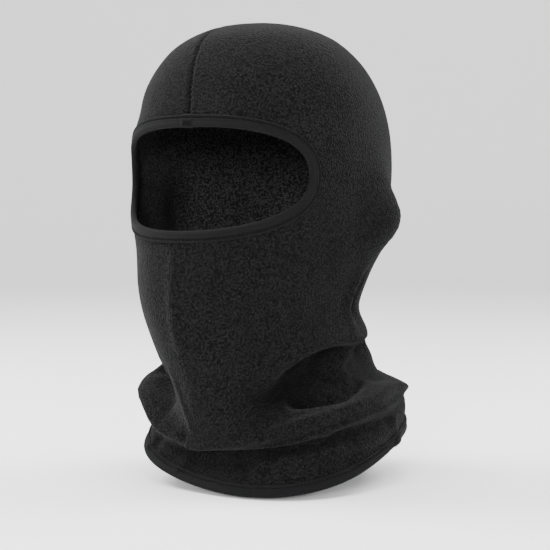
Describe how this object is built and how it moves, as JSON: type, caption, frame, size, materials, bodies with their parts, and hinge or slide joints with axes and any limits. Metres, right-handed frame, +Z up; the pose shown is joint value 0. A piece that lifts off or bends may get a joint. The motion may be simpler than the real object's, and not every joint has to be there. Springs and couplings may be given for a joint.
{
  "type": "balaclava",
  "caption": "Fleece hood that covers the head and neck, with a bound face opening, a slouched roll round the neck and a short bound skirt under it.",
  "frame": {"origin": "Inside of the hood at the crown, where the top of the wearer's head touches it.", "axes": "+Z up, the wearer's face looks along -Y, +X is the wearer's left."},
  "size_m": [0.1812, 0.1958, 0.2951],
  "materials": {
    "fleece": "matt black micro fleece with a short nubby pile",
    "jersey_tape": "smooth black knitted stretch tape with a slight sheen",
    "thread": "black spun polyester sewing thread"
  },
  "bodies": {
    "root": {"left_panel": "fleece", "right_panel": "fleece", "face_binding": "jersey_tape", "hem_binding": "jersey_tape", "face_needle_thread": "thread", "face_looper_thread": "thread", "hem_needle_thread": "thread", "hem_looper_thread": "thread", "crown_overlock_thread": "thread", "chin_overlock_thread": "thread", "face_binding_tack": "thread", "hem_binding_tack": "thread"}
  },
  "joints": []
}
